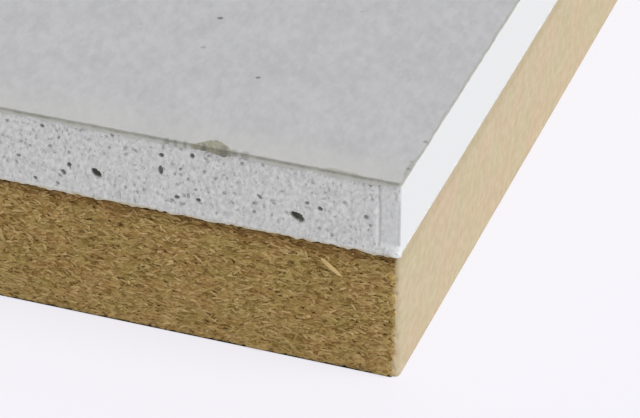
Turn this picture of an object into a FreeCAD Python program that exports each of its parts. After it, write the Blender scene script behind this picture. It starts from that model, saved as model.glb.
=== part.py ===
"""Acoustic laminate panel: paper-faced gypsum board glued flat onto a wood fibre board.

The panel is a plain rectangular sheet made of four layers, each its own solid, stacked from the floor up:

    wood_fibre_board   felted softboard that damps sound and carries the others
    back_liner         paper on the glued side of the gypsum board
    gypsum_core        cast plaster body of the gypsum board
    face_liner         grey paper on the visible side of the gypsum board

The sheet is cut square on all four sides, so every layer ends flush and shows its section.
Frame: millimetres, +X along the sheet's length, +Y across it, +Z up through its thickness.
The origin is the middle of the underside, which is where the sheet rests when it lies flat.
"""

import FreeCAD
import Part

import os

# Driving dimensions, in millimetres
PANEL_LENGTH = 1200.0
PANEL_WIDTH = 600.0
FIBRE_BOARD_THICKNESS = 22.0
GYPSUM_BOARD_THICKNESS = 12.5  # over both of its paper liners
FACE_LINER_THICKNESS = 0.4
BACK_LINER_THICKNESS = 0.4
FIBRE_CORNER_RADIUS = 1.5  # soft board, so its upright corners are worn round
GYPSUM_CORNER_RADIUS = 0.6
FIBRE_FOOT_RADIUS = 0.5  # round on the lower rim of the fibre board

# The layers' levels follow from the thicknesses: each one starts where the layer below it ends.
BACK_LINER_FLOOR = FIBRE_BOARD_THICKNESS
GYPSUM_CORE_FLOOR = BACK_LINER_FLOOR + BACK_LINER_THICKNESS
GYPSUM_CORE_THICKNESS = GYPSUM_BOARD_THICKNESS - BACK_LINER_THICKNESS - FACE_LINER_THICKNESS
FACE_LINER_FLOOR = GYPSUM_CORE_FLOOR + GYPSUM_CORE_THICKNESS


def edges_upright(solid):
    """The edges of a solid that run along Z."""
    return [edge for edge in solid.Edges if abs(edge.tangentAt(edge.FirstParameter).z) > 0.999]


def edges_at_level(solid, level):
    """The edges of a solid that lie flat at one height."""
    return [
        edge
        for edge in solid.Edges
        if abs(edge.BoundBox.ZMin - level) < 1e-6 and abs(edge.BoundBox.ZMax - level) < 1e-6
    ]


def sheet(floor, thickness, corner_radius):
    """A layer over the whole panel, from a floor level up, with its upright corners rounded."""
    corner = FreeCAD.Vector(-PANEL_LENGTH / 2, -PANEL_WIDTH / 2, floor)
    block = Part.makeBox(PANEL_LENGTH, PANEL_WIDTH, thickness, corner)
    return block.makeFillet(corner_radius, edges_upright(block))


def wood_fibre_board():
    """Soft fibre board: the thick lower layer, with its lower rim rubbed slightly round."""
    board = sheet(0.0, FIBRE_BOARD_THICKNESS, FIBRE_CORNER_RADIUS)
    return board.makeFillet(FIBRE_FOOT_RADIUS, edges_at_level(board, 0.0))


def back_liner():
    """Paper between the gypsum core and the fibre board, which takes the glue."""
    return sheet(BACK_LINER_FLOOR, BACK_LINER_THICKNESS, GYPSUM_CORNER_RADIUS)


def gypsum_core():
    """Cast plaster between the two papers."""
    return sheet(GYPSUM_CORE_FLOOR, GYPSUM_CORE_THICKNESS, GYPSUM_CORNER_RADIUS)


def face_liner():
    """Grey paper that faces the room and takes filler, paint or tiles."""
    return sheet(FACE_LINER_FLOOR, FACE_LINER_THICKNESS, GYPSUM_CORNER_RADIUS)


LAYERS = {
    "wood_fibre_board": wood_fibre_board,
    "back_liner": back_liner,
    "gypsum_core": gypsum_core,
    "face_liner": face_liner,
}


def main():
    os.makedirs("parts", exist_ok=True)
    for name, make in LAYERS.items():
        solid = make()
        solid.exportStep(f"parts/{name}.step")
        box = solid.BoundBox
        print(f"{name}: z {box.ZMin:.2f} to {box.ZMax:.2f} mm, volume {solid.Volume / 1e6:.3f} litres")


main()
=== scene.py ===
# %% [markdown]
# # An acoustic laminate panel
# The real object is a gypsum board with grey paper on both faces, glued flat onto a board of
# felted wood fibre. It is sold as a sheet 1.2 m long, and every edge of it is a raw cut.
# The sizes and the four layers come from the CAD frame. This lesson gives each layer its own
# mesh, with the relief of its cut edges, and its own finish, and then lights the corner that
# the camera looks at.

# %% The fixed frame, and the box of its CAD parts
import math
import random
from collections import namedtuple

import bmesh
import bpy
from mathutils import Matrix, Vector, kdtree, noise


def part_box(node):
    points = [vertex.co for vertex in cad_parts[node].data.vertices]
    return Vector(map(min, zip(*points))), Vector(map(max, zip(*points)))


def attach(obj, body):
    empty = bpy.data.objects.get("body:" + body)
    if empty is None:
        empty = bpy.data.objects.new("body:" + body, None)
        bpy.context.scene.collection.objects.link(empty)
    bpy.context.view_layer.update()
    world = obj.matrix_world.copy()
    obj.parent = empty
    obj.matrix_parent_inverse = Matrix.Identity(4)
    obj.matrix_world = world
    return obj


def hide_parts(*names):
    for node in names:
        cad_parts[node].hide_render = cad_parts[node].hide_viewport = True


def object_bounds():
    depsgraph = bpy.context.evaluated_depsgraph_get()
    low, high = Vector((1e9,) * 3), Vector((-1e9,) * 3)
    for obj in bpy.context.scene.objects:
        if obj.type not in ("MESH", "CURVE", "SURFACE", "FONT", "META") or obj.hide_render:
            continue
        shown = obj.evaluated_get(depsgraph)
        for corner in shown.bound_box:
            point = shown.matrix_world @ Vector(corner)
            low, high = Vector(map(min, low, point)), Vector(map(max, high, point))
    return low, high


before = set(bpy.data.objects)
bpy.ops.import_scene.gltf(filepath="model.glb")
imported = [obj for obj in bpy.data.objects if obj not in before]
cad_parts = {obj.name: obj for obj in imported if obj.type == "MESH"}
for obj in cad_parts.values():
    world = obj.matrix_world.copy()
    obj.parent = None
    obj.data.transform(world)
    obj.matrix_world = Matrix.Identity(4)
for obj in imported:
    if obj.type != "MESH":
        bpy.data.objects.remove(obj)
cad_low, cad_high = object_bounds()
layer_box = {name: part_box(name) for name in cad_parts}
for name, (low, high) in layer_box.items():
    print(name, "from", round(low.z * 1000, 1), "to", round(high.z * 1000, 1), "mm")

# %% [markdown]
# ## Plain maths for places on the panel
# All the relief is worked out from a point's place in the frame, in metres. The shown corner is
# the front right one, and the work near it is finer than elsewhere, because that is where the
# eye is closest. A maker would measure a flaw from that corner with a ruler: so far to the left,
# so far down from the top. Those two numbers are enough to place a pore or a tear.

# %% Units, the shown corner and two small curves
MM = 0.001
SHOWN_CORNER = Vector((cad_high.x, cad_low.y, cad_high.z))
CLOSE_LENGTH = 82 * MM  # how far left of the corner the boards have their finest cells
WALL_DEPTH = 4 * MM  # what lies this near an edge counts as its wall


def smooth_step(start, end, value):
    """0 before start, 1 after end, and an even curve between them; start may be the larger."""
    share = min(max((value - start) / (end - start), 0.0), 1.0)
    return share * share * (3 - 2 * share)


def wander(point, size, seed=0.0):
    """Smooth random waviness from about -1 to 1, with swells about this large."""
    return noise.noise(point / size + Vector((seed, 1.7 * seed, -seed)))


print("the shown corner is at", [round(value, 4) for value in SHOWN_CORNER])

# %% [markdown]
# ## A slab in small cells
# Each board is a thin slab whose walls are what shows. A plain box has no points to move on its
# walls, and cutting the whole box into small cells would spend most of them inside the large
# faces. So the outline is drawn as one face, its long sides are cut into short edges, and it is
# raised into a slab. Level planes then cut the walls into courses, and two insets give each
# large face a rim of cells. Where more detail is needed, the cells are cut again.

# %% The slab and its finer cells
CORNER_SEGMENTS = 5
RIM_WIDTHS = (1.2 * MM, 4.2 * MM)


def layer_slab(low, high, corner_radius, cell):
    """A closed slab with square cells on its walls and two rims of cells inside each large face."""
    size = high - low
    bm = bmesh.new()
    bmesh.ops.create_grid(bm, x_segments=1, y_segments=1, size=0.5)
    bmesh.ops.scale(bm, vec=(size.x, size.y, 1), verts=bm.verts)
    bmesh.ops.translate(bm, vec=((low.x + high.x) / 2, (low.y + high.y) / 2, low.z), verts=bm.verts)
    bmesh.ops.bevel(bm, geom=bm.verts[:], offset=corner_radius, affect="VERTICES",
                    segments=CORNER_SEGMENTS, profile=0.5, material=-1)
    for side in [edge for edge in bm.edges if edge.calc_length() > size.y / 2]:
        bmesh.ops.bisect_edges(bm, edges=[side], cuts=round(side.calc_length() / cell) - 1)
    raised = bmesh.ops.extrude_face_region(bm, geom=bm.faces[:])["geom"]
    upper = [part for part in raised if isinstance(part, bmesh.types.BMVert)]
    bmesh.ops.translate(bm, vec=(0, 0, size.z), verts=upper)
    courses = max(1, round(size.z / cell))
    for course in range(1, courses):
        bmesh.ops.bisect_plane(bm, geom=bm.verts[:] + bm.edges[:] + bm.faces[:], dist=1e-7,
                               plane_co=(0, 0, low.z + size.z * course / courses),
                               plane_no=(0, 0, 1))
    for width in RIM_WIDTHS:
        large = [face for face in bm.faces if len(face.verts) > 4]
        bmesh.ops.inset_region(bm, faces=large, thickness=0)
        for vert in {vert for face in large for vert in face.verts}:
            vert.co.x = min(max(vert.co.x, low.x + width), high.x - width)
            vert.co.y = min(max(vert.co.y, low.y + width), high.y - width)
    bmesh.ops.remove_doubles(bm, verts=bm.verts, dist=0.001 * MM)
    bmesh.ops.recalc_face_normals(bm, faces=bm.faces)
    return bm


def refine(bm, wanted, cuts):
    """Cuts the sides of each four-sided cell whose middle is wanted, and fills it with a grid."""
    bm.faces.index_update()
    chosen = {face.index for face in bm.faces
              if len(face.verts) == 4 and wanted(face.calc_center_median())}
    edges = [edge for edge in bm.edges if any(face.index in chosen for face in edge.link_faces)]
    bmesh.ops.subdivide_edges(bm, edges=edges, cuts=cuts, use_grid_fill=True)


ON_WALL = 0.9  # the share of its corner radius at which a point counts as lying on a slab's wall


def outward(point, low, high, radius):
    """The level way out of a slab at a point on its wall or on its rounded upright corners."""
    core_x = min(max(point.x, low.x + radius), high.x - radius)
    core_y = min(max(point.y, low.y + radius), high.y - radius)
    return Vector((point.x - core_x, point.y - core_y, 0.0))


# %% Turning a finished mesh into a piece of the panel
SHARP_ANGLE = math.radians(60)
triangles = {}


def finish_piece(name, bm, node):
    """Makes the mesh an object that rides on the panel and stands for a CAD node, if one is given."""
    for face in bm.faces:
        face.smooth = True
    for edge in bm.edges:
        edge.smooth = edge.calc_face_angle(0.0) < SHARP_ANGLE
    mesh = bpy.data.meshes.new(name)
    bm.to_mesh(mesh)
    bm.free()
    mesh.calc_loop_triangles()
    triangles[name] = len(mesh.loop_triangles)
    piece = bpy.data.objects.new(name, mesh)
    bpy.context.scene.collection.objects.link(piece)
    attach(piece, "root")
    if node:
        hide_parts(node)
    print(name, "has", triangles[name], "triangles")
    return piece


# %% [markdown]
# ## The wood fibre board
# The board is a felt of thin wood strands, lying mostly level. Its long edges are torn by the
# saw's side play: strands stand out, with shadowed gaps between them. Its ends are cut so cleanly
# that they look almost planed. The relief is built as ridges: each of a few leaning sets of
# streaks gives a height, and the highest one at each point wins, as strands cross over each
# other. The same height is kept on each point as a number, so that the finish can paint shade into the
# gaps.

# %% The felt's relief
FIBRE_LOW, FIBRE_HIGH = layer_box["wood_fibre_board"]
FIBRE_CORNER_RADIUS = 1.5 * MM
FIBRE_CELL = 1.6 * MM
STREAK_LENGTH = 1.3 * MM
STREAK_WIDTH = 0.42 * MM
STREAK_LEANS = (-0.8, -0.35, 0.05, 0.4, 0.9)
TORN_DEPTH = 0.38 * MM
SAWN_DEPTH = 0.03 * MM
LUMP_SIZE = 7 * MM
LUMP_DEPTH = 0.2 * MM


def felt_height(point):
    """How high the felt stands here: 0 in a gap between strands, 1 on a strand's back."""
    along = point.x + point.y
    height = 0.0
    for number, lean in enumerate(STREAK_LEANS):
        across = point.z + lean * along
        spot = Vector((along / STREAK_LENGTH, 9.7 * number, across / STREAK_WIDTH))
        height = max(height, noise.noise(spot))
    return min(1.0, 1.9 * height)


# %% Where the board is worn: under the joint, at the foot and at its corners
JOINT_BAND = 2.4 * MM
JOINT_DEPTH = 0.55 * MM
FOOT_RADIUS = 0.3 * MM
WORN_FOOT = 0.35 * MM
WORN_REACH = 3.5 * MM
RUBBED_REACH = 1.2 * MM


def worn_depth(point, shown):
    """How far wear has taken the board's wall back at this height; shown is near the corner."""
    below_joint = FIBRE_HIGH.z - point.z
    crumbled = JOINT_DEPTH * (1 - smooth_step(0, JOINT_BAND, below_joint))
    crumbled *= 0.7 + 0.9 * wander(point, 2.2 * MM, 3.0)
    radius = FOOT_RADIUS + (WORN_FOOT - FOOT_RADIUS) * shown
    above_foot = min(max(point.z - FIBRE_LOW.z, 0.0), radius)
    rounded = radius - math.sqrt(radius ** 2 - (radius - above_foot) ** 2)
    return max(crumbled, 0.0) + rounded


def lump_depth(point):
    """How far a torn wall swells in and out over several millimetres."""
    return LUMP_DEPTH * wander(point, LUMP_SIZE)


def rubbed_share(point):
    """1 at the board's upright arrises, where handling has rubbed the felt smooth, 0 away."""
    inside = FIBRE_HIGH.x - abs(point.x) + 0.7 * MM * wander(point, 1.6 * MM, 23.0)
    return 1 - smooth_step(0.2 * RUBBED_REACH, RUBBED_REACH, inside)


def near_corner(point, reach_left, reach_back):
    """True for a place on the front wall or the right end that is this near the shown corner."""
    left = SHOWN_CORNER.x - point.x
    back = point.y - SHOWN_CORNER.y
    return (left < reach_left and back < WALL_DEPTH) or (left < WALL_DEPTH and back < reach_back)


# %% The board itself
def wood_fibre_board():
    """The board's slab with torn long edges, clean ends and a worn joint, foot and arrises."""
    bm = layer_slab(FIBRE_LOW, FIBRE_HIGH, FIBRE_CORNER_RADIUS, FIBRE_CELL)
    refine(bm, lambda spot: near_corner(spot, CLOSE_LENGTH, 24 * MM), cuts=5)
    gap = bm.verts.layers.float.new("gap")
    torn = bm.verts.layers.float.new("torn")
    rest = [vert.co.copy() for vert in bm.verts]
    for vert, point in zip(bm.verts, rest):
        away = outward(point, FIBRE_LOW, FIBRE_HIGH, FIBRE_CORNER_RADIUS)
        on_wall = away.length > ON_WALL * FIBRE_CORNER_RADIUS
        vert[torn] = 1.0
        if not on_wall:
            continue
        away.normalize()
        share = smooth_step(0.45, 0.97, abs(away.y)) * (1 - 0.8 * rubbed_share(point))
        height = felt_height(point)
        depth = SAWN_DEPTH + (TORN_DEPTH - SAWN_DEPTH) * share
        shown = 1 - smooth_step(0, WORN_REACH, (point - SHOWN_CORNER).xy.length)
        ragged = 0.25 * MM * min(away.y ** 2, away.x ** 2) * 4 * max(0.0, wander(point, 1.1 * MM, 5.0))
        inset = depth * (1 - height) + share * lump_depth(point) + ragged
        inset += worn_depth(point, shown) * (0.2 + 0.8 * share)
        vert.co = point - away * inset
        # The gap mark tells the finish where to paint shade between strands.
        vert[gap] = (1 - height) * share
        vert[torn] = share
    return finish_piece("fibre_board", bm, "wood_fibre_board")


fibre_board = wood_fibre_board()

# %% [markdown]
# ## Loose strands of the felt
# A relief can't show a strand that stands clear of the others and throws its own shadow. Real
# strands are thin splinters with pointed ends, some pale, some tan and some dark with bark. One
# splinter is a ball with four sides and a few rings, drawn out along its length and bowed.
# A few shapes are enough: each copy gets its own place, length, lean and tone, and all copies
# of one tone are joined, so that the felt is three pieces and not thousands.

# %% A few splinter shapes
Wall = namedtuple("Wall", "corner along outward length")
back_left = Vector((cad_low.x, cad_high.y, 0))
front_right = Vector((cad_high.x, cad_low.y, 0))
PANEL_LENGTH = cad_high.x - cad_low.x
FRONT = Wall(front_right, Vector((-1, 0, 0)), Vector((0, -1, 0)), PANEL_LENGTH)
BACK = Wall(back_left, Vector((1, 0, 0)), Vector((0, 1, 0)), PANEL_LENGTH)
SPLINTER_SHAPES = 8


def splinter(rng):
    """One splinter, one unit to each side along X, bowed and twisted a little."""
    bm = bmesh.new()
    bmesh.ops.create_uvsphere(bm, u_segments=4, v_segments=4, radius=1)
    bmesh.ops.rotate(bm, cent=(0, 0, 0), matrix=Matrix.Rotation(math.pi / 2, 3, "Y"), verts=bm.verts)
    bow = rng.uniform(-1.6, 1.6)
    kink = rng.uniform(-0.8, 0.8)
    for vert in bm.verts:
        reach = vert.co.x
        vert.co.y += bow * (reach * reach - 0.4) + kink * reach ** 3
        vert.co.z += 0.5 * bow * (0.4 - reach * reach)
    mesh = bpy.data.meshes.new("splinter")
    bm.to_mesh(mesh)
    bm.free()
    mesh.attributes.new("tone", "FLOAT", "POINT")
    return mesh


def place_splinter(bm, shape, middle, along, out, half_size, tone):
    """Joins a copy of the shape to the mesh, along one way, with its flat side turned out."""
    across = out.cross(along).normalized()
    half_length, half_width, half_thickness = half_size
    turn = Matrix((along * half_length, across * half_width, out * half_thickness)).transposed()
    copy = shape.copy()
    copy.transform(Matrix.Translation(middle) @ turn.to_4x4())
    copy.attributes["tone"].data.foreach_set("value", [tone] * len(copy.vertices))
    bm.from_mesh(copy)
    bpy.data.meshes.remove(copy)


# %% Strewing splinters over the walls
Strewing = namedtuple("Strewing", "wall start reach count length width lean proud")
NEAR_REACH = 84 * MM
STREWN = (
    Strewing(FRONT, 0.0, NEAR_REACH, 2700, (0.9, 2.1), (0.30, 0.58), 0.42, 0.04),
    Strewing(FRONT, NEAR_REACH, PANEL_LENGTH - NEAR_REACH, 1550, (2.5, 6), (0.4, 0.8), 0.34, 0.05),
    Strewing(BACK, 0.0, PANEL_LENGTH, 1550, (2.5, 6), (0.4, 0.8), 0.34, 0.05),
)


def strew(bm, rng, shapes, work):
    """Lays the splinters of one strewing over its stretch of wall."""
    for _ in range(work.count):
        half_length = rng.uniform(*work.length) * MM / 2
        half_width = rng.uniform(*work.width) * MM / 2
        lean = rng.gauss(0, work.lean)
        end_room = half_length * math.cos(lean) * 0.9 + rng.uniform(0.4, 1.7) * MM
        distance = work.start + rng.uniform(end_room, work.reach - end_room)
        height_room = abs(half_length * math.sin(lean)) + 2 * half_width + 0.15 * MM
        height_room = min(height_room, 0.45 * (FIBRE_HIGH.z - FIBRE_LOW.z))
        height = rng.uniform(FIBRE_LOW.z + height_room, FIBRE_HIGH.z - height_room)
        swing = rng.gauss(0, 0.07)
        along = work.wall.along * math.cos(lean) + Vector((0, 0, math.sin(lean)))
        out = (work.wall.outward + along * swing + Vector((0, 0, rng.gauss(0, 0.25)))).normalized()
        along = (along - out * along.dot(out)).normalized()
        middle = work.wall.corner + work.wall.along * distance + Vector((0, 0, height))
        worn = worn_depth(middle, 0.0) + lump_depth(middle)
        sunk = abs(rng.gauss(0, 0.14 * MM)) + half_width * 0.5
        middle -= work.wall.outward * (sunk + worn - work.proud * MM)
        size = (half_length, half_width, half_width * rng.uniform(0.35, 0.6))
        place_splinter(bm, rng.choice(shapes), middle, along, out, size, rng.random())


def splinter_piece(name, seed, extra=()):
    """All the splinters of one tone: strewn ones, and any that are listed."""
    rng = random.Random(seed)
    shapes = [splinter(rng) for _ in range(SPLINTER_SHAPES)]
    bm = bmesh.new()
    for work in STREWN:
        strew(bm, rng, shapes, work)
    for middle, along, out, half_size, tone in extra:
        place_splinter(bm, shapes[0], middle, along, out, half_size, tone)
    return finish_piece(name, bm, None)


# %% The three tones, with the one long pale sliver that stands out under the joint
sliver_middle = SHOWN_CORNER + Vector((-10.5, -0.3, -16.6)) * MM
sliver_along = Vector((1.0, 0.0, -0.82)).normalized()
sliver_out = Vector((0.42, -0.75, 0.512)).normalized()
SLIVER = (sliver_middle, sliver_along, sliver_out, (2.2 * MM, 0.32 * MM, 0.2 * MM), 1.0)
dark_strands = splinter_piece("dark_strands", 11)
tan_strands = splinter_piece("tan_strands", 22)
pale_strands = splinter_piece("pale_strands", 33, [SLIVER])

# %% [markdown]
# ## The gypsum core
# The core is foamed gypsum: white, brittle and full of small air bubbles, which the saw opens
# into round and oval pits. Its lower arris is broken and a little rounded, and one stretch
# beside the corner was scraped smooth. The pits are real hollows, so the cells around each large
# one are cut finer first. A search tree of the mesh's points finds those that a pit moves.

# %% The pits: the ones that stand out, and the many small ones
Pit = namedtuple("Pit", "middle along half_length half_width depth dark")
GYPSUM_LOW, GYPSUM_HIGH = layer_box["gypsum_core"]
GYPSUM_CORNER_RADIUS = 0.6 * MM
GYPSUM_CELL = 1.45 * MM
FACE_TOP = SHOWN_CORNER.z
# Each row: mm left of the corner, mm below the top, half length, half width, lean, depth, dark (how
# much painted shade fills the pit).
LARGE_PITS = (
    (15.9, 9.2, 1.25, 0.66, -28, 0.6, 1.0),
    (47.8, 8.4, 1.00, 0.62, -32, 0.6, 1.0),
    (52.2, 7.9, 0.46, 0.38, 60, 0.6, 0.75),
    (53.2, 9.4, 0.55, 0.40, -45, 0.6, 0.6),
    (31.5, 9.7, 0.42, 0.36, 0, 0.6, 0.7),
    (37.2, 3.1, 0.44, 0.38, 20, 0.6, 0.7),
    (32.3, 2.2, 0.46, 0.38, 70, 0.6, 0.7),
    (12.4, 7.1, 0.40, 0.34, 0, 0.6, 0.7),
    (14.4, 6.5, 0.44, 0.30, 30, 0.4, 0.45),
    (56.3, 2.0, 0.38, 0.32, 10, 0.4, 0.5),
    (57.9, 11.4, 0.38, 0.32, 0, 0.4, 0.5),
    (37.4, 5.7, 0.80, 0.42, 84, 0.5, 0.75),
    (34.9, 9.9, 0.48, 0.34, 15, 0.4, 0.7),
    (34.0, 10.9, 0.50, 0.28, 35, 0.2, 0.25),
    (33.7, 9.6, 0.36, 0.26, 40, 0.2, 0.25),
    (21.8, 7.0, 0.55, 0.30, -35, 0.4, 0.45),
    (22.6, 8.3, 0.34, 0.28, 0, 0.3, 0.35),
    (5.3, 6.9, 0.44, 0.38, 50, 0.4, 0.5),
    (8.6, 5.2, 0.34, 0.28, 0, 0.3, 0.4),
    (27.4, 7.6, 0.40, 0.30, 60, 0.3, 0.3),
    (43.0, 3.2, 0.36, 0.28, 20, 0.3, 0.35),
    (60.5, 8.0, 0.40, 0.30, 0, 0.4, 0.4),
)


def wall_spot(wall, distance, height):
    """The place on a wall at this distance from its corner and this height above the foot."""
    return wall.corner + wall.along * distance + Vector((0, 0, height))


def front_pits():
    """The pits that stand out on the front wall, as rows of sizes in metres."""
    for left, down, half_length, half_width, lean, depth, dark in LARGE_PITS:
        middle = wall_spot(FRONT, left * MM, FACE_TOP - down * MM)
        angle = math.radians(lean)
        along = Vector((math.cos(angle), 0, math.sin(angle)))
        yield Pit(middle, along, half_length * MM, half_width * MM, depth * MM, dark)


def strewn_pits(rng, wall, start, reach, count, radius, depth):
    """Small pits at random over a stretch of wall, with few large ones among them."""
    for _ in range(count):
        distance = start + rng.uniform(0.0, reach)
        height = rng.uniform(GYPSUM_LOW.z + 0.5 * MM, GYPSUM_HIGH.z - 0.5 * MM)
        half_width = (radius[0] + (radius[1] - radius[0]) * rng.random() ** 3) * MM
        angle = rng.uniform(-1.5, 1.5)
        along = wall.along * math.cos(angle) + Vector((0, 0, math.sin(angle)))
        yield Pit(wall_spot(wall, distance, height), along, half_width * rng.uniform(1.0, 1.6),
                  half_width, depth * half_width, rng.uniform(0.1, 0.45))


def all_pits():
    """Every pit of the two torn walls; the ends have none, because their cut is the clean one."""
    rng = random.Random(404)
    pits = list(front_pits())
    pits += strewn_pits(rng, FRONT, 4 * MM, 80 * MM, 260, (0.16, 0.34), 0.9)
    pits += strewn_pits(rng, FRONT, 85 * MM, PANEL_LENGTH - 90 * MM, 60, (0.7, 1.5), 1.2)
    pits += strewn_pits(rng, BACK, 5 * MM, PANEL_LENGTH - 10 * MM, 70, (0.7, 1.5), 1.2)
    return pits


pits = all_pits()
print(len(pits), "pits")

# %% The core's relief
GRAIN_DEPTH = 0.10 * MM
GROOVE_SHADE = 0.3
SCRAPED_WIDTH = 3.3 * MM
SCRAPED_DEPTH = 0.36 * MM
SCRAPED_SLOPE = 0.50 * MM
GROOVE_WIDTH = 0.45 * MM
GROOVE_DEPTH = 0.10 * MM
LOWER_ARRIS = 0.15 * MM
BURR_WIDTH = 3.1 * MM
BURR_HEIGHT = 1.0 * MM
BURR_PROUD = 0.85 * MM
BURR_DROP = 0.35 * MM


def groove_share(point):
    """1 in the middle of the groove beside the scraped stretch of the front, 0 away from it."""
    left = SHOWN_CORNER.x - point.x + 0.12 * MM * wander(point, 3 * MM, 8.0)
    above_foot = smooth_step(0.1 * MM, 0.9 * MM, point.z - GYPSUM_LOW.z)
    in_line = 1 - smooth_step(0.0, GROOVE_WIDTH, abs(left - SCRAPED_WIDTH))
    return (point.y < 0) * above_foot * in_line


def scraped_share(point):
    """1 on the scraped stretch of the front, with a slope on its left that starts well down."""
    left = SHOWN_CORNER.x - point.x + 0.12 * MM * wander(point, 3 * MM, 8.0)
    deep = 0.3 + 0.7 * smooth_step(2 * MM, 5 * MM, FACE_TOP - point.z)
    deep *= smooth_step(0.3 * MM, 1.4 * MM, point.z - GYPSUM_LOW.z)
    slope = smooth_step(SCRAPED_WIDTH, SCRAPED_WIDTH + SCRAPED_SLOPE, left)
    return (point.y < 0) * deep * (1 - slope)


def burr_share(point):
    """1 on the lip at the core's lower arris beside the shown corner, 0 away from it."""
    left = SHOWN_CORNER.x - point.x
    back = point.y - SHOWN_CORNER.y
    above = point.z - GYPSUM_LOW.z
    near = 1 - smooth_step(0.2 * BURR_WIDTH, BURR_WIDTH, left + 2.5 * back)
    height = BURR_HEIGHT * (0.4 + 0.6 * near)
    return near * (1 - smooth_step(0.1 * height, height, above))


def gypsum_inset(point, share):
    """How far the core's wall lies back here; share is 1 on the torn long edges, 0 on the ends."""
    grain = wander(point, 0.7 * MM) + 0.6 * wander(point, 0.33 * MM, 2.0)
    inset = GRAIN_DEPTH * share * (0.5 + 0.5 * grain)
    scraped = share * scraped_share(point)
    inset += scraped * (SCRAPED_DEPTH - 0.8 * GRAIN_DEPTH * (0.5 + 0.5 * grain))
    above = point.z - GYPSUM_LOW.z
    inset += share * GROOVE_DEPTH * groove_share(point) * (0.8 + 0.5 * wander(point, 2 * MM, 7.0))
    radius = LOWER_ARRIS * (0.3 + 0.7 * abs(wander(point, 3.1 * MM, 4.0)))
    low = min(above, radius)
    inset += 0.6 * (radius - math.sqrt(radius ** 2 - (radius - low) ** 2))
    return inset - (0.3 + 0.7 * share) * BURR_PROUD * burr_share(point)


# %% Pressing the pits into the walls
def press_pits(bm, hollow):
    """Presses each pit into the wall as an oval hollow with a crisp mouth, and marks its painted
    shade.
    """
    tree = kdtree.KDTree(len(bm.verts))
    for number, vert in enumerate(bm.verts):
        tree.insert(vert.co, number)
    tree.balance()
    bm.verts.ensure_lookup_table()
    for pit in pits:
        inwards = Vector((-pit.along.y, pit.along.x, 0)).normalized()
        inwards *= math.copysign(1, -pit.middle.dot(inwards))
        across = inwards.cross(pit.along)
        for co, number, _ in tree.find_range(pit.middle, 1.2 * pit.half_length + 0.3 * MM):
            offset = co - pit.middle
            reach = math.hypot(offset.dot(pit.along) / pit.half_length,
                               offset.dot(across) / pit.half_width)
            reach += 0.12 * wander(co, 0.3 * MM, 6.0)
            vert = bm.verts[number]
            vert.co += inwards * pit.depth * (1 - smooth_step(0.55, 1.05, reach))
            # The pit's painted shade, strongest in its middle.
            vert[hollow] = max(vert[hollow], pit.dark * (1 - smooth_step(0.75, 1.1, reach)))


# %% The core itself
def gypsum_core():
    """The core's slab with grain, the scraped stretch, the broken lower arris and the pits."""
    bm = layer_slab(GYPSUM_LOW, GYPSUM_HIGH, GYPSUM_CORNER_RADIUS, GYPSUM_CELL)
    refine(bm, lambda spot: near_corner(spot, CLOSE_LENGTH, 16 * MM), cuts=5)
    tree = kdtree.KDTree(len(pits))
    for number, pit in enumerate(pits):
        tree.insert(pit.middle, number)
    tree.balance()

    def by_a_flaw(spot):
        _, number, distance = tree.find(spot)
        radius = pits[number].half_length
        by_a_pit = radius > 0.36 * MM and distance < 1.4 * radius + 0.25 * MM
        return by_a_pit or (near_corner(spot, 5 * MM, 0) and groove_share(spot) > 0)

    refine(bm, by_a_flaw, cuts=2)
    hollow = bm.verts.layers.float.new("hollow")
    torn = bm.verts.layers.float.new("torn")
    for vert in bm.verts:
        away = outward(vert.co, GYPSUM_LOW, GYPSUM_HIGH, GYPSUM_CORNER_RADIUS)
        if away.length < ON_WALL * GYPSUM_CORNER_RADIUS:
            continue
        away.normalize()
        share = smooth_step(0.3, 0.95, abs(away.y))
        vert[torn] = share * (1 - 0.5 * scraped_share(vert.co))
        # Painted shade in the groove beside the scraped stretch, in the same mark as the pits' shade.
        vert[hollow] = GROOVE_SHADE * share * groove_share(vert.co) ** 2
        burr = burr_share(vert.co)
        vert.co -= away * gypsum_inset(vert.co.copy(), share)
        vert.co.z -= BURR_DROP * burr
    press_pits(bm, hollow)
    return finish_piece("gypsum_body", bm, "gypsum_core")


gypsum_body = gypsum_core()

# %% [markdown]
# ## The paper between the boards
# The gypsum board has a second paper on its back, and that one is glued to the fibre board. At
# the edge a thin cream line of it shows. The blade drags its fibres down over the board below,
# so its lower edge is pulled down by an uneven fringe, and the dark gap under it looks wavy.

# %% The back paper
BACK_LOW, BACK_HIGH = layer_box["back_liner"]
PAPER_CORNER_RADIUS = 0.6 * MM
FRINGE = 0.46 * MM
END_FRINGE = 0.16 * MM


def back_paper_sheet():
    """The back paper, with its lower edge drawn down in a fringe, mostly on the torn sides."""
    bm = layer_slab(BACK_LOW, BACK_HIGH, PAPER_CORNER_RADIUS, 1.6 * MM)
    refine(bm, lambda spot: near_corner(spot, CLOSE_LENGTH, 60 * MM), cuts=3)
    for vert in bm.verts:
        away = outward(vert.co, BACK_LOW, BACK_HIGH, PAPER_CORNER_RADIUS)
        if away.length < ON_WALL * PAPER_CORNER_RADIUS:
            continue
        away.normalize()
        torn = smooth_step(0.3, 0.95, abs(away.y))
        vert.co -= away * torn * (0.04 * MM + 0.05 * MM * wander(vert.co, 1.5 * MM, 9.0))
        if vert.co.z < BACK_LOW.z + 0.1 * MM:
            uneven = wander(vert.co, 0.9 * MM, 10.0)
            vert.co.z -= torn * FRINGE * (1.0 + 0.8 * uneven)
            vert.co.z -= (1 - torn) * END_FRINGE * max(0.0, 0.3 + uneven)
    return finish_piece("back_paper", bm, "back_liner")


back_paper = back_paper_sheet()

# %% [markdown]
# ## The grey face paper
# The face paper is a thin sheet with a soft fibrous surface. The saw has frayed its edge, and
# at one place on the front it is torn, lifted and hangs down as a shred. The sheet starts as a
# grid of large cells. Those near the shown corner and along the rim are cut again, the outline
# is made ragged, and the sheet is then given its thickness downwards.

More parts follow.
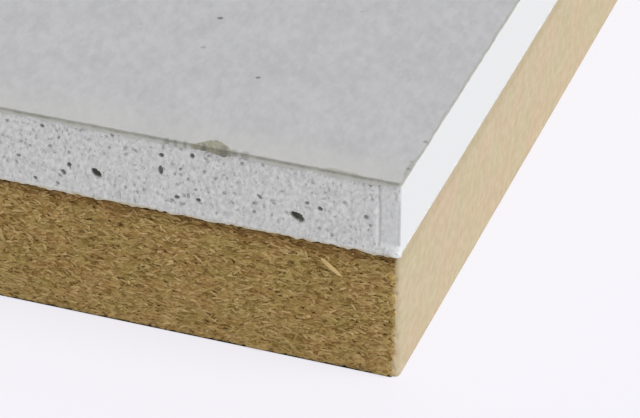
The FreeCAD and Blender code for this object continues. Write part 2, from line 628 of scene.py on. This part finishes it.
# %% The sheet's outline and tear
FACE_LOW, FACE_HIGH = layer_box["face_liner"]
TEAR_FROM = 25.0 * MM
TEAR_TO = 32.9 * MM
TEAR_REACH = 1.9 * MM
TEAR_LIFT = 0.22 * MM
SKIRT = 0.48 * MM
WORN_RIM_FROM = 6.0 * MM
WORN_RIM_TO = 12.5 * MM
PAPER_CELL = 10 * MM


def tear_share(left):
    """1 in the middle of the tear, 0 outside it, for a distance left of the corner."""
    rise = smooth_step(TEAR_FROM, TEAR_FROM + 3.8 * MM, left)
    fall = 1 - smooth_step(TEAR_TO - 3.6 * MM, TEAR_TO, left)
    return rise * fall


def rim_wear(point):
    """1 where the rim was rubbed thick and olive, on both sides of the shown corner, else 0."""
    left = SHOWN_CORNER.x - point.x
    back = point.y - SHOWN_CORNER.y
    front = smooth_step(WORN_RIM_FROM, WORN_RIM_FROM + 2 * MM, left)
    front *= 1 - smooth_step(WORN_RIM_TO - 2 * MM, WORN_RIM_TO, left)
    end = smooth_step(1 * MM, 3 * MM, back) * (1 - smooth_step(5 * MM, 7 * MM, back))
    return front * (back < WALL_DEPTH) + end * (left < 2 * MM)


def edge_distance(point):
    """How far inside the sheet's cut edge a point lies."""
    return min(FACE_HIGH.x - abs(point.x), FACE_HIGH.y - abs(point.y))


# %% Specks of waste pulp in the paper
# Each row: mm left of the corner, mm back from the front edge, radius in mm, dark.
SPECKS = (
    (42.1, 36.5, 0.55, 1.0),
    (30.0, 21.3, 0.50, 0.8),
    (2.5, 44.8, 0.40, 0.7),
    (0.3, 12.1, 0.45, 0.7),
    (41.2, 27.0, 0.50, 0.35),
    (53.0, 30.5, 0.40, 0.25),
    (22.0, 46.0, 0.45, 0.25),
    (30.4, 0.0, 0.42, 0.9),
    (33.4, 0.0, 0.40, 0.5),
    (34.9, 0.0, 0.35, 0.4),
    (36.2, 0.0, 0.45, 0.5),
    (27.3, 0.0, 0.80, 0.6),
    (25.8, 0.0, 0.70, 0.4),
    (24.0, 0.0, 0.80, 0.4),
    (0.3, 4.2, 0.40, 0.7),
    (0.5, 6.2, 0.40, 0.4),
)


def speck_here(spot, reach=1.0):
    """How much of a speck of waste pulp lies at this place on the paper, from 0 to its dark."""
    here = 0.0
    for left, back, radius, dark in SPECKS:
        middle = SHOWN_CORNER + Vector((-left, back, 0)) * MM
        distance = (spot - middle).xy.length + 0.15 * MM * wander(spot, 0.4 * MM, 22.0)
        here = max(here, dark * (1 - smooth_step(0.5, 1.0, distance / (reach * radius * MM))))
    return here


def near_edge_of_corner(spot):
    """True for a place on the paper's rim that the finest cells are for."""
    left = SHOWN_CORNER.x - spot.x
    back = spot.y - SHOWN_CORNER.y
    return (left < 86 * MM and back < 2 * MM) or (left < 2 * MM and back < 70 * MM)


def near_top_corner(spot):
    """True for a place on the top that the camera sees closely."""
    return SHOWN_CORNER.x - spot.x < 90 * MM and spot.y - SHOWN_CORNER.y < 70 * MM


# %% Moving one point of the sheet
def shape_paper_point(vert, frayed, peeled, speck):
    """Moves one point of the sheet: frays the rim, opens the tear and adds faint swells."""
    start = vert.co.copy()
    upper = start.z > (FACE_LOW.z + FACE_HIGH.z) / 2
    inside = edge_distance(start)
    left = SHOWN_CORNER.x - start.x
    on_front = start.y - SHOWN_CORNER.y < WALL_DEPTH
    core = outward(start, FACE_LOW, FACE_HIGH, PAPER_CORNER_RADIUS)
    point = start - core.normalized() * max(0.0, core.length - PAPER_CORNER_RADIUS)
    uneven = wander(start, 1.6 * MM, 11.0) + 0.3 * wander(start, 0.5 * MM, 12.0)
    rim_width = (0.45 + 0.5 * rim_wear(start) + 0.4 * max(uneven, -0.9)) * MM
    rim = 1 - smooth_step(0.0, rim_width, inside)
    point -= core.normalized() * rim * 0.07 * MM * (0.2 + uneven)
    at_end = FACE_HIGH.x - abs(start.x) < 2 * MM
    vert[frayed] = rim * (0.8 + 0.6 * rim_wear(start) + 0.25 * at_end)
    vert[speck] = speck_here(start) if near_top_corner(start) else 0.0
    if upper:
        point.z -= 0.06 * MM * vert[speck]
        point.z += 0.02 * MM * wander(start, 5 * MM, 13.0) * (1 - rim)
        point.z -= 0.05 * MM * rim * (0.6 + wander(start, 0.8 * MM, 14.0))
    elif inside < 0.05 * MM:
        # The skirt hangs the paper's dark lower rim over the core's top: partly frayed fibres, partly
        # a dark sheet in place of the shade line under the paper.
        on_long_edge = smooth_step(0.2, 0.8, abs(core.y) / max(core.length, 1e-9))
        skirt = SKIRT * (1.15 + 0.9 * wander(start, 1.9 * MM, 16.0) + 0.4 * rim_wear(start))
        point.z -= max(skirt, 0.0) * (0.15 + 0.85 * on_long_edge)
        point += core.normalized() * 0.09 * MM
    if on_front:
        torn = tear_share(left + 0.6 * MM * wander(start, 1.2 * MM, 15.0))
        depth_share = inside + 0.35 * MM * wander(start, 0.7 * MM, 17.0)
        open_here = 1 - smooth_step(TEAR_REACH * torn - 0.35 * MM, TEAR_REACH * torn, depth_share)
        open_here *= smooth_step(0.0, 0.25, torn)
        fluff = TEAR_LIFT * (0.7 + 0.6 * wander(start, 1.1 * MM, 18.0))
        point.z += upper * open_here * fluff * smooth_step(0.0, 0.9 * MM, inside)
        if inside < 0.05 * MM:
            shred = max(0.0, wander(start, 1.1 * MM, 19.0))
            point.z -= (not upper) * open_here * 0.5 * MM * shred
            point.y -= open_here * 0.1 * MM
        vert[peeled] = open_here
    vert.co = point


# %% The sheet itself
def face_paper_sheet():
    """The face paper with its frayed outline, its tear and the faint swells of its surface."""
    bm = bmesh.new()
    size = FACE_HIGH - FACE_LOW
    bmesh.ops.create_grid(bm, x_segments=round(size.x / PAPER_CELL),
                          y_segments=round(size.y / PAPER_CELL), size=0.5)
    bmesh.ops.scale(bm, vec=(size.x, size.y, 1), verts=bm.verts)
    bmesh.ops.translate(bm, vec=(0, 0, FACE_HIGH.z), verts=bm.verts)
    refine(bm, lambda spot: edge_distance(spot) < PAPER_CELL, cuts=4)
    refine(bm, lambda spot: near_top_corner(spot) and edge_distance(spot) > PAPER_CELL, cuts=9)
    refine(bm, near_edge_of_corner, cuts=7)
    refine(bm, lambda spot: edge_distance(spot) > 2 * MM and speck_here(spot, 5.0) > 0, cuts=5)
    skin = bm.faces[:]
    bmesh.ops.recalc_face_normals(bm, faces=skin)
    lower = bmesh.ops.extrude_face_region(bm, geom=skin)["geom"]
    lower_verts = [part for part in lower if isinstance(part, bmesh.types.BMVert)]
    bmesh.ops.translate(bm, vec=(0, 0, -size.z), verts=lower_verts)
    bmesh.ops.recalc_face_normals(bm, faces=bm.faces)
    frayed = bm.verts.layers.float.new("frayed")
    peeled = bm.verts.layers.float.new("peeled")
    speck = bm.verts.layers.float.new("speck")
    for vert in bm.verts:
        shape_paper_point(vert, frayed, peeled, speck)
    return finish_piece("face_paper", bm, "face_liner")


face_paper = face_paper_sheet()

# %% [markdown]
# ## Finishes, written as sums
# Every finish below is a few nodes, and long chains of Math nodes are hard to read. So a small
# class stands for one number that varies over a surface, and writing a sum or a product with it
# adds the Math nodes. A second class holds one material and makes any other node from its type,
# its settings and its sockets. Patterns are laid on the panel's own coordinates in metres, so a
# size given in millimetres is the real size of the mark.

# %% A number that varies over a surface
class Signal:
    """A number that varies over a surface. Arithmetic on it adds Math nodes."""

    def __init__(self, finish, socket):
        self.finish = finish
        self.socket = socket

    def _with(self, operation, first, second):
        made = self.finish.node("ShaderNodeMath", {"operation": operation}, {0: first, 1: second})
        return Signal(self.finish, made.outputs[0])

    def __add__(self, other):
        return self._with("ADD", self, other)

    __radd__ = __add__

    def __sub__(self, other):
        return self._with("SUBTRACT", self, other)

    def __rsub__(self, other):
        return self._with("SUBTRACT", other, self)

    def __mul__(self, other):
        return self._with("MULTIPLY", self, other)

    __rmul__ = __mul__

    def most(self, other):
        return self._with("MAXIMUM", self, other)

    def step(self, start, end):
        """0 below start and 1 above end, with a smooth curve between them."""
        made = self.finish.node("ShaderNodeMapRange", {"interpolation_type": "SMOOTHSTEP"},
                                {"Value": self, "From Min": start, "From Max": end})
        return Signal(self.finish, made.outputs["Result"])


# %% One finish, and the nodes it is made of
def shade(red, green, blue):
    """A colour given as three numbers up to 255, as a paint chart gives it, for a socket."""
    parts = (value / 255 for value in (red, green, blue))
    linear = (part / 12.92 if part <= 0.04045 else ((part + 0.055) / 1.055) ** 2.4 for part in parts)
    return (*linear, 1.0)


class Finish:
    """One material, built around its own Principled shader."""

    def __init__(self, name, roughness, gloss):
        self.material = bpy.data.materials.new(name)
        self.material.use_nodes = True
        self.tree = self.material.node_tree
        self.shader = self.tree.nodes["Principled BSDF"]
        self.shader.inputs["Roughness"].default_value = roughness
        self.shader.inputs["Specular IOR Level"].default_value = gloss
        self.place = self.node("ShaderNodeTexCoord", {}, {}).outputs["Object"]

    def node(self, kind, settings, sockets):
        """A node of this type, with its settings made first and its sockets filled or linked."""
        made = self.tree.nodes.new(kind)
        for name, value in settings.items():
            setattr(made, name, value)
        for name, value in sockets.items():
            if isinstance(value, Signal):
                value = value.socket
            if isinstance(value, bpy.types.NodeSocket):
                self.tree.links.new(value, made.inputs[name])
            else:
                made.inputs[name].default_value = value
        return made

    def cloud(self, size, detail=2.0, turn=(0.0, 0.0, 0.0), seed=0.0):
        """Random patches of this size in millimetres, one number or one for each axis; 0 to 1."""
        sizes = [value * MM for value in (size if isinstance(size, tuple) else (size,) * 3)]
        spot = self.node("ShaderNodeMapping", {"vector_type": "TEXTURE"},
                         {"Vector": self.place, "Rotation": turn, "Scale": sizes,
                          "Location": (seed * 0.37, seed * 0.21, seed * 0.11)})
        made = self.node("ShaderNodeTexNoise", {}, {"Vector": spot.outputs["Vector"], "Scale": 1.0,
                                                    "Detail": detail})
        return Signal(self, made.outputs["Fac"])

    def mark(self, name):
        """A number that the mesh keeps on each of its points."""
        made = self.node("ShaderNodeAttribute", {"attribute_name": name}, {})
        return Signal(self, made.outputs["Fac"])

    def axis(self, name):
        """The place along X, Y or Z, in metres."""
        made = self.node("ShaderNodeSeparateXYZ", {}, {"Vector": self.place})
        return Signal(self, made.outputs[name])

    def blend(self, share, first, second):
        """The first colour where share is 0 and the second where it is 1."""
        made = self.node("ShaderNodeMix", {"data_type": "RGBA"}, {0: share, 6: first, 7: second})
        return made.outputs[2]

    def wear(self, piece, colour, height, depth):
        """Gives the piece this colour, and a relief of this depth in metres from the height."""
        bump = self.node("ShaderNodeBump", {}, {"Height": height, "Distance": depth})
        self.tree.links.new(bump.outputs["Normal"], self.shader.inputs["Normal"])
        self.tree.links.new(colour, self.shader.inputs["Base Color"])
        piece.data.materials.append(self.material)
        print(self.material.name, "has", len(self.tree.nodes), "nodes")


# %% [markdown]
# ## The fibre board's finish
# Torn felt is a brown made of many browns: each strand has its own, the gaps between them get
# painted shade, as does the band under the joint, and whole patches lean a little to rust or to olive.
# Streaks in three leans stand for strands too thin to model. The clean ends
# are paler, because the blade has left them smooth, and part of that paleness is a painted sheen
# of the light that comes straight off them. The mark that the mesh keeps on each point says which of
# the two a place is.

# %% Torn and sawn fibre
def fibre_streaks(finish, length, width, detail=1.0, seed=0.0):
    """Level and leaning streaks of one size: the strongest one at each place shows."""
    size = (length, length, width)
    level = finish.cloud(size, detail, seed=seed)
    rising = finish.cloud(size, detail, turn=(0.4, -0.4, 0.0), seed=seed + 1)
    falling = finish.cloud(size, detail, turn=(-0.3, 0.35, 0.0), seed=seed + 2)
    return level.most(rising).most(falling)


def joint_shade_band(finish):
    """1 in the crumbled band just under the joint, where the colour gets painted shade, fading to 0
    below it.
    """
    height = finish.axis("Z")
    return height.step(FIBRE_HIGH.z - 3.2 * MM, FIBRE_HIGH.z - 1.4 * MM)


PATCH_SHARE = 0.18


def weathered(finish, colour):
    """The colour with faint patches of rust and of olive, as bark and damp leave them."""
    patches = finish.cloud((4.0, 4.0, 2.0), 2.0, seed=15.0)
    rusty = finish.blend(patches.step(0.5, 0.65) * PATCH_SHARE, colour, shade(198, 148, 96))
    return finish.blend((1 - patches).step(0.5, 0.65) * PATCH_SHARE, rusty, shade(174, 164, 90))


def finish_fibre_board(piece):
    """The board's brown felt, with painted shade in its gaps and under the joint, and paler on its
    clean ends, partly as a painted sheen.
    """
    felt = Finish("torn_and_sawn_fibre", roughness=0.85, gloss=0.15)
    fine = fibre_streaks(felt, 1.5, 0.24)
    broad = felt.cloud((6.0, 6.0, 1.2), 2.0, seed=5.0)
    torn = felt.mark("torn")
    gap = felt.mark("gap")
    tone = (fine * 0.9 + broad * 0.35).step(0.45, 0.95)
    torn_colour = weathered(felt, felt.blend(tone, shade(146, 113, 57), shade(219, 188, 124)))
    # Painted shade: the gaps between strands are darkened to a dark brown.
    torn_colour = felt.blend(gap.step(0.4, 0.95) * 0.8, torn_colour, shade(96, 66, 26))
    foot = 1 - felt.axis("Z").step(FIBRE_LOW.z, FIBRE_LOW.z + 12 * MM)
    torn_colour = felt.blend(foot * 0.15, torn_colour, shade(232, 206, 150))
    joint = joint_shade_band(felt)
    # Painted shade under the gypsum's lip: the torn felt is darkened near the joint.
    torn_colour = felt.blend(joint * 0.7, torn_colour, shade(110, 74, 34))
    grain = felt.cloud((1.7, 1.7, 1.3), 2.0, seed=8.0)
    cast = felt.cloud(8.0, 2.0, seed=11.0).step(0.35, 0.65)
    # The clean ends' colour: smooth sawn felt, paled partly as a painted sheen of the lamp.
    sawn_and_sheen_colour = felt.blend(cast, shade(202, 189, 157), shade(208, 187, 159))
    sawn_and_sheen_colour = felt.blend(grain.step(0.4, 0.75) * 0.4, sawn_and_sheen_colour, shade(222, 208, 182))
    sawn_and_sheen_colour = felt.blend((1 - grain).step(0.5, 0.75) * 0.22, sawn_and_sheen_colour, shade(186, 168, 134))
    # Painted shade under the joint on the clean ends as well.
    sawn_and_sheen_colour = felt.blend(joint * 0.2, sawn_and_sheen_colour, shade(160, 142, 112))
    colour = felt.blend(torn, sawn_and_sheen_colour, torn_colour)
    felt.wear(piece, colour, fine * torn + grain * 0.1, 0.20 * MM)


finish_fibre_board(fibre_board)

# %% Loose strands in three tones
def finish_strands(piece, name, dark, light):
    """Splinters of one tone, each a little different, with fine lengthwise grain."""
    wood = Finish(name, roughness=0.75, gloss=0.2)
    grain = wood.cloud((1.4, 1.4, 0.3), 1.0)
    tone = wood.mark("tone") * 0.8 + grain.step(0.3, 0.7) * 0.2
    colour = weathered(wood, wood.blend(tone, dark, light))
    # Painted shade under the joint on the strands as well.
    colour = wood.blend(joint_shade_band(wood) * 0.35, colour, shade(120, 82, 38))
    wood.wear(piece, colour, grain, 0.05 * MM)


finish_strands(dark_strands, "dark_strand_wood", shade(130, 99, 48), shade(178, 145, 84))
finish_strands(tan_strands, "tan_strand_wood", shade(168, 135, 76), shade(201, 170, 109))
finish_strands(pale_strands, "pale_strand_wood", shade(188, 155, 97), shade(223, 195, 139))

# %% [markdown]
# ## The gypsum's finish
# Gypsum is white with a faint cool tint. Freshly torn, it is a crust of bright grains and small
# shadows, finer than the mesh, so those are a bump in the finish, and the small shadows are also
# painted grey into its colour. Pits and the groove beside the scraped stretch get painted shade,
# darker with depth. The same gypsum dust covers the edge of the paper below, so that finish shares the
# crust and its painted shadows.

# %% White gypsum
def torn_crust(finish):
    """The colour and the relief of a torn white edge: bright crumbs with small holes whose shade is
    painted grey.
    """
    crumbs = finish.cloud((0.56, 0.56, 0.85), 2.0, turn=(0.3, 0.3, 0.0))
    holes = finish.cloud((0.6, 0.6, 0.9), 1.0, seed=3.0).step(0.60, 0.76)
    patches = finish.cloud(3.0, 2.0, seed=6.0)
    tone = (crumbs * 0.9 + patches * 0.2).step(0.35, 0.75)
    colour = finish.blend(tone, shade(220, 220, 223), shade(246, 246, 246))
    # Painted shade: the small holes are darkened towards grey.
    colour = finish.blend(holes * 0.35, colour, shade(160, 160, 160))
    return colour, crumbs - holes * 0.8


def finish_gypsum(piece):
    """White gypsum: crusty on the torn long edges, smooth on the clean ends."""
    white = Finish("sawn_gypsum", roughness=0.9, gloss=0.15)
    torn = white.mark("torn")
    crust, relief = torn_crust(white)
    colour = white.blend(torn, shade(235, 236, 239), crust)
    # Painted shade in the pits and the groove.
    colour = white.blend(white.mark("hollow"), colour, shade(98, 101, 91))
    white.wear(piece, colour, relief * (torn * 0.92 + 0.08), 0.14 * MM)


finish_gypsum(gypsum_body)

# %% [markdown]
# ## The papers' finish
# Face paper is grey recycled board: calm from afar, with faint long fibres and soft blotches up
# close, and a few specks of waste pulp. Where it is cut or torn, the darker and more olive
# middle of the board shows; on the cut edge and the skirt below it that darkness is partly painted
# shade of the line under the paper's rim.

# %% Face paper and back paper
def finish_face_paper(piece):
    """Grey recycled paper with blotches, faint fibres, specks, an olive frayed rim and a dark cut edge
    that is partly painted shade.
    """
    paper = Finish("grey_face_paper", roughness=0.8, gloss=0.2)
    blotches = paper.cloud(9.0, 3.0)
    small = paper.cloud((0.7, 2.2, 1.0), 2.0, seed=2.0)
    pulp = paper.cloud((1.3, 2.6, 1.0), 3.0, turn=(0.0, 0.0, 0.5), seed=7.0)
    tone = (blotches * 0.25 + small * 0.35 + pulp * 0.55).step(0.35, 0.8)
    colour = paper.blend(tone, shade(187, 187, 189), shade(201, 201, 203))
    warm = 1 - paper.axis("Y").step(FACE_LOW.y + 1.0 * MM, FACE_LOW.y + 9.0 * MM)
    colour = paper.blend(warm * blotches, colour, shade(202, 201, 197))
    frayed = (paper.mark("frayed") + small * 0.5).step(0.6, 1.3)
    colour = paper.blend(frayed * 0.55, colour, shade(162, 162, 148))
    height = paper.axis("Z")
    under = 1 - height.step(FACE_LOW.z, FACE_HIGH.z - 0.12 * MM)
    ply_tone = small * 0.4 + paper.cloud(2.4, 2.0, seed=12.0) * 0.6
    # Painted shade: the cut edge and skirt are dark, partly the olive middle ply and partly the shade
    # line under the rim.
    ply_and_shade = paper.blend(ply_tone.step(0.38, 0.62), shade(140, 139, 127), shade(182, 181, 170))
    dusty = 1 - height.step(FACE_LOW.z - 0.35 * MM, FACE_LOW.z + 0.2 * MM)
    colour = paper.blend(under, colour, paper.blend(dusty * 0.8, ply_and_shade, shade(216, 216, 212)))
    fluff = paper.cloud((0.5, 0.5, 0.5), 2.0, seed=4.0).step(0.35, 0.65)
    inner_ply = paper.blend(fluff, shade(144, 142, 122), shade(168, 165, 145))
    colour = paper.blend(paper.mark("peeled").step(0.0, 0.9) * 0.9, colour, inner_ply)
    colour = paper.blend(paper.mark("speck"), colour, shade(120, 120, 118))
    paper.wear(piece, colour, small * 0.5 + blotches, 0.03 * MM)


def finish_back_paper(piece):
    """The edge of the paper glued between the boards: dusty white, with a cream fringe below."""
    paper = Finish("cream_back_paper", roughness=0.9, gloss=0.1)
    crust, relief = torn_crust(paper)
    stains = paper.cloud((1.6, 1.6, 0.5), 2.0).step(0.35, 0.65)
    fringe = 1 - paper.axis("Z").step(BACK_LOW.z - 0.4 * MM, BACK_LOW.z + 0.1 * MM)
    colour = paper.blend(fringe * (0.4 + 0.6 * stains), crust, shade(214, 201, 172))
    paper.wear(piece, colour, relief, 0.12 * MM)


finish_face_paper(face_paper)
finish_back_paper(back_paper)

# %% [markdown]
# ## The floor and the light
# The panel lies on a pale floor that fades into a pale background. The floor has to look nearly
# white to the camera without lighting the panel more than a floor would, so the camera sees a
# mix of glow and plain paint, which still shows the panel's shadow, and all other rays see only
# the paint. One large soft lamp stands high on the right, so that the right end is the brightest
# face and the front is lit almost by the room alone.

# %% The floor
FLOOR_SIZE = 30.0
FLOOR_DROP = 0.08 * MM
FLOOR_GREY = 0.78  # the paint's grey, by which the floor lights the panel
FLOOR_GLOW = 0.78  # how much of the floor that the camera sees is glow; the rest is paint
BACKGROUND = shade(246, 244, 252)


def seen_directly(finish):
    """1 for rays that show the background itself: straight, mirrored or through something."""
    rays = finish.node("ShaderNodeLightPath", {}, {})
    straight = Signal(finish, rays.outputs["Is Camera Ray"])
    mirrored = Signal(finish, rays.outputs["Is Glossy Ray"])
    through = Signal(finish, rays.outputs["Is Transmission Ray"])
    return straight.most(mirrored).most(through)


def make_floor():
    """A wide plain floor just under the panel's foot."""
    bm = bmesh.new()
    bmesh.ops.create_grid(bm, x_segments=1, y_segments=1, size=FLOOR_SIZE / 2)
    bmesh.ops.translate(bm, vec=(0, 0, FIBRE_LOW.z - FLOOR_DROP), verts=bm.verts)
    mesh = bpy.data.meshes.new("floor")
    bm.to_mesh(mesh)
    bm.free()
    floor = bpy.data.objects.new("floor", mesh)
    bpy.context.scene.collection.objects.link(floor)
    paint = Finish("pale_floor", roughness=1.0, gloss=0.0)
    paint.shader.inputs["Base Color"].default_value = (FLOOR_GREY,) * 3 + (1.0,)
    glow = paint.node("ShaderNodeBsdfPrincipled", {},
                      {"Base Color": (1 - FLOOR_GLOW,) * 3 + (1.0,), "Roughness": 1.0,
                       "Specular IOR Level": 0.0, "Emission Color": BACKGROUND,
                       "Emission Strength": FLOOR_GLOW})
    both = paint.node("ShaderNodeMixShader", {},
                      {0: seen_directly(paint), 1: paint.shader.outputs[0], 2: glow.outputs[0]})
    surface = paint.tree.nodes["Material Output"].inputs["Surface"]
    paint.tree.links.new(both.outputs[0], surface)
    mesh.materials.append(paint.material)


make_floor()

# %% The lamp and the room's own light
ROOM_LIGHT = 0.46
LAMP_POWER = 1.95
LAMP_ANGLE = math.radians(35)
TO_THE_LAMP = Vector((0.66, -0.03, 0.75))


def make_lights():
    """A soft sun lamp high on the right, and an even room light with a pale backdrop."""
    lamp = bpy.data.lights.new("soft_lamp", "SUN")
    lamp.energy = LAMP_POWER
    lamp.angle = LAMP_ANGLE
    holder = bpy.data.objects.new("soft_lamp", lamp)
    holder.rotation_euler = TO_THE_LAMP.to_track_quat("Z", "Y").to_euler()
    bpy.context.scene.collection.objects.link(holder)
    world = bpy.data.worlds.new("room")
    bpy.context.scene.world = world
    world.use_nodes = True
    nodes, links = world.node_tree.nodes, world.node_tree.links
    room = nodes["Background"]
    room.inputs["Color"].default_value = (1.0, 1.0, 1.0, 1.0)
    room.inputs["Strength"].default_value = ROOM_LIGHT
    backdrop = nodes.new("ShaderNodeBackground")
    backdrop.inputs["Color"].default_value = BACKGROUND
    rays = nodes.new("ShaderNodeLightPath")
    mix = nodes.new("ShaderNodeMixShader")
    links.new(rays.outputs["Is Camera Ray"], mix.inputs[0])
    links.new(room.outputs[0], mix.inputs[1])
    links.new(backdrop.outputs[0], mix.inputs[2])
    links.new(mix.outputs[0], nodes["World Output"].inputs["Surface"])


make_lights()

# %% [markdown]
# ## The camera
# The camera looks down on the shown corner from the front and the right, as a buyer looks at a
# sample of the panel. A camera close to the corner would make the edges run together sharply, so
# this one stands further off, and its long lens keeps them nearly parallel.

# %% The camera
CAMERA_FROM_CORNER = Vector((116.9, -360.9, 237.5)) * MM
CAMERA_AZIMUTH = math.radians(19.706)
CAMERA_ELEVATION = math.radians(32.533)
CAMERA_ROLL = math.radians(0.149)
CAMERA_LENS = 175.8
SENSOR_WIDTH = 36.0


def make_camera():
    """A camera at the shown corner, turned by its azimuth, elevation and slight roll."""
    data = bpy.data.cameras.new("camera")
    data.lens = CAMERA_LENS
    data.sensor_width = SENSOR_WIDTH
    data.clip_start = 10 * MM
    camera = bpy.data.objects.new("camera", data)
    bpy.context.scene.collection.objects.link(camera)
    backward = Vector((math.sin(CAMERA_AZIMUTH) * math.cos(CAMERA_ELEVATION),
                       -math.cos(CAMERA_AZIMUTH) * math.cos(CAMERA_ELEVATION),
                       math.sin(CAMERA_ELEVATION)))
    right = Vector((math.cos(CAMERA_AZIMUTH), math.sin(CAMERA_AZIMUTH), 0))
    turn = Matrix((right, backward.cross(right), backward)).transposed()
    turn = turn @ Matrix.Rotation(CAMERA_ROLL, 3, "Z")
    camera.matrix_world = Matrix.Translation(SHOWN_CORNER + CAMERA_FROM_CORNER) @ turn.to_4x4()
    bpy.context.scene.camera = camera


make_camera()
bpy.context.scene.view_settings.view_transform = "Standard"

# %% The sizes, and the end
print("triangles in all:", sum(triangles.values()))
